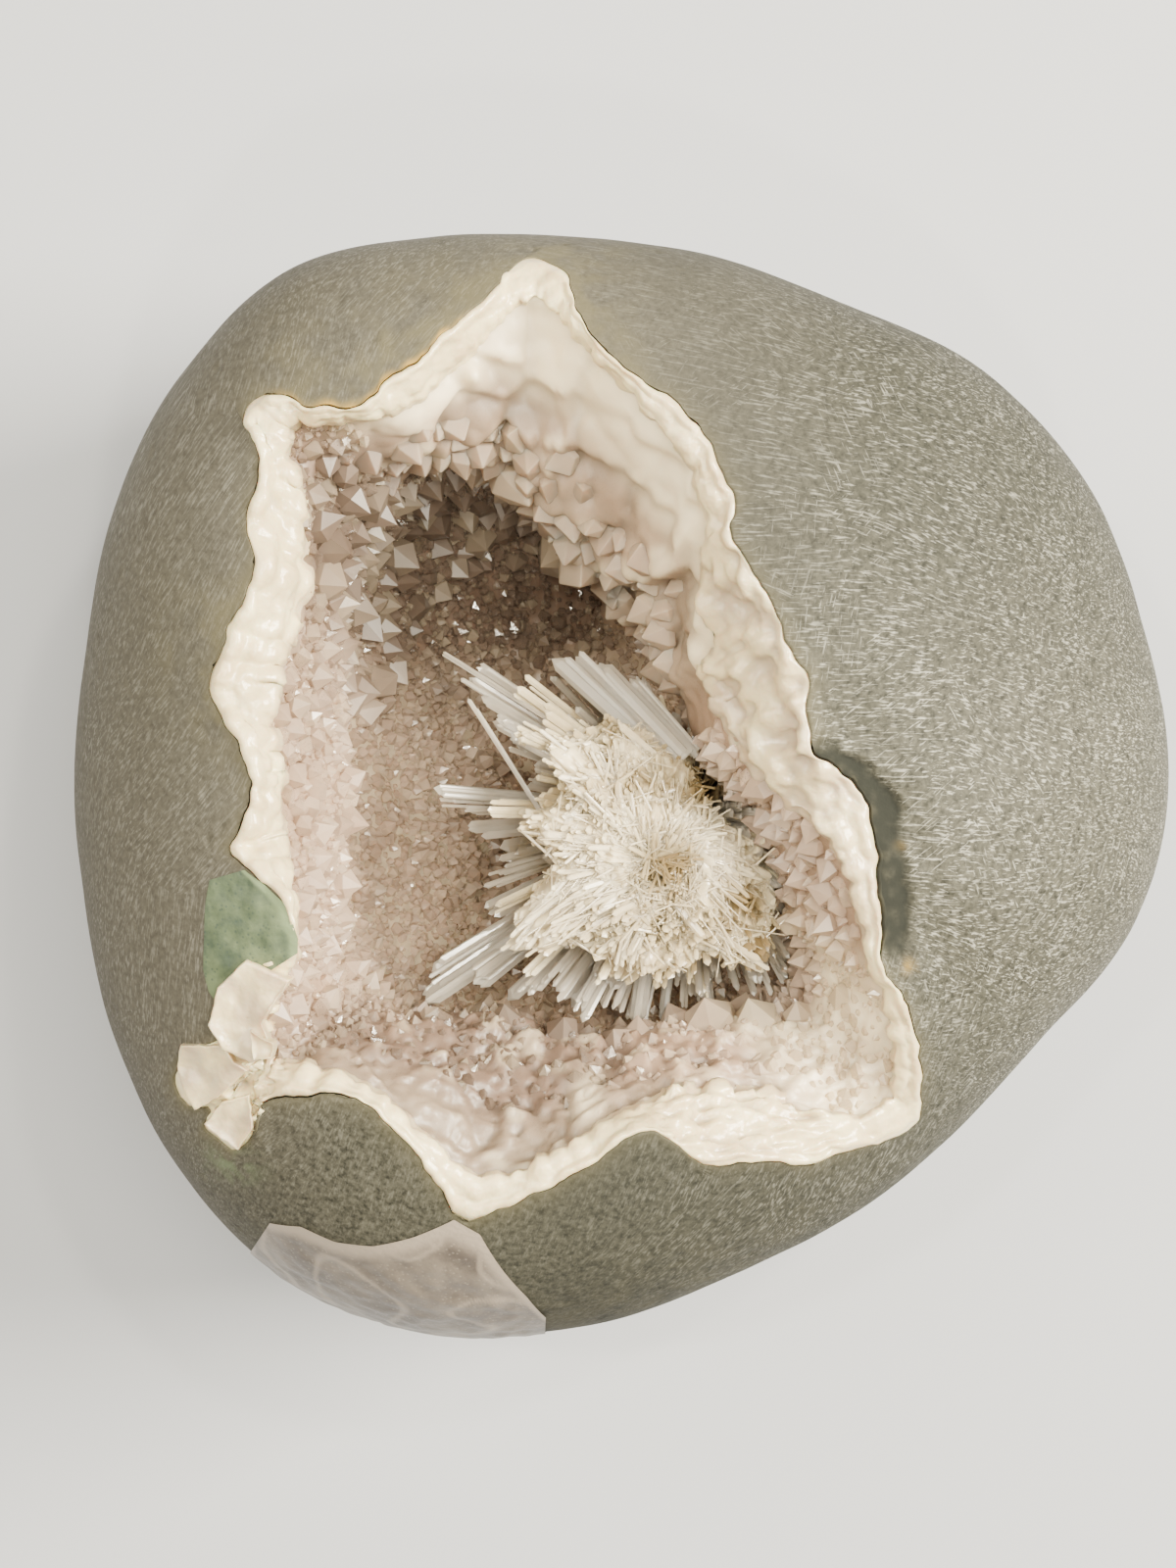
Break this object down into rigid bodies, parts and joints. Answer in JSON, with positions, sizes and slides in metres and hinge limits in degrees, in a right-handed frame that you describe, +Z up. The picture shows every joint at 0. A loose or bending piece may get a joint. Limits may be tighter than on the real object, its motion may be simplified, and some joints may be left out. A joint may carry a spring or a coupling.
{
  "type": "scolecite geode",
  "caption": "Ground basalt nodule with a jagged opening into a hollow lined with white chalcedony and pale pink quartz, where a radiating spray of white scolecite needles stands.",
  "frame": {"origin": "middle of the bounding box on the flat base", "axes": "+Z up out of the hollow, +X to the right and +Y to the far side when the hollow is seen from above as in the picture"},
  "size_m": [0.0778, 0.0762, 0.0514],
  "materials": {
    "basalt": "grey-green fine-grained basalt, ground with a belt, low sheen with short curved scratches",
    "chalcedony": "creamy white, smooth and lumpy, waxy gloss",
    "quartz": "pale pink translucent crystals with glassy faces",
    "scolecite": "white to clear silky needles with a glassy shine",
    "celadonite": "matt blue-green, fine-grained, with darker specks",
    "vein": "pinkish grey-white, ground flush, low sheen"
  },
  "bodies": {
    "root": {"basalt_stone": "basalt", "chalcedony_rim": "chalcedony", "quartz_druse": "quartz", "scolecite_spray": "scolecite", "celadonite_patch": "celadonite", "chalcedony_vein": "vein"}
  },
  "joints": []
}
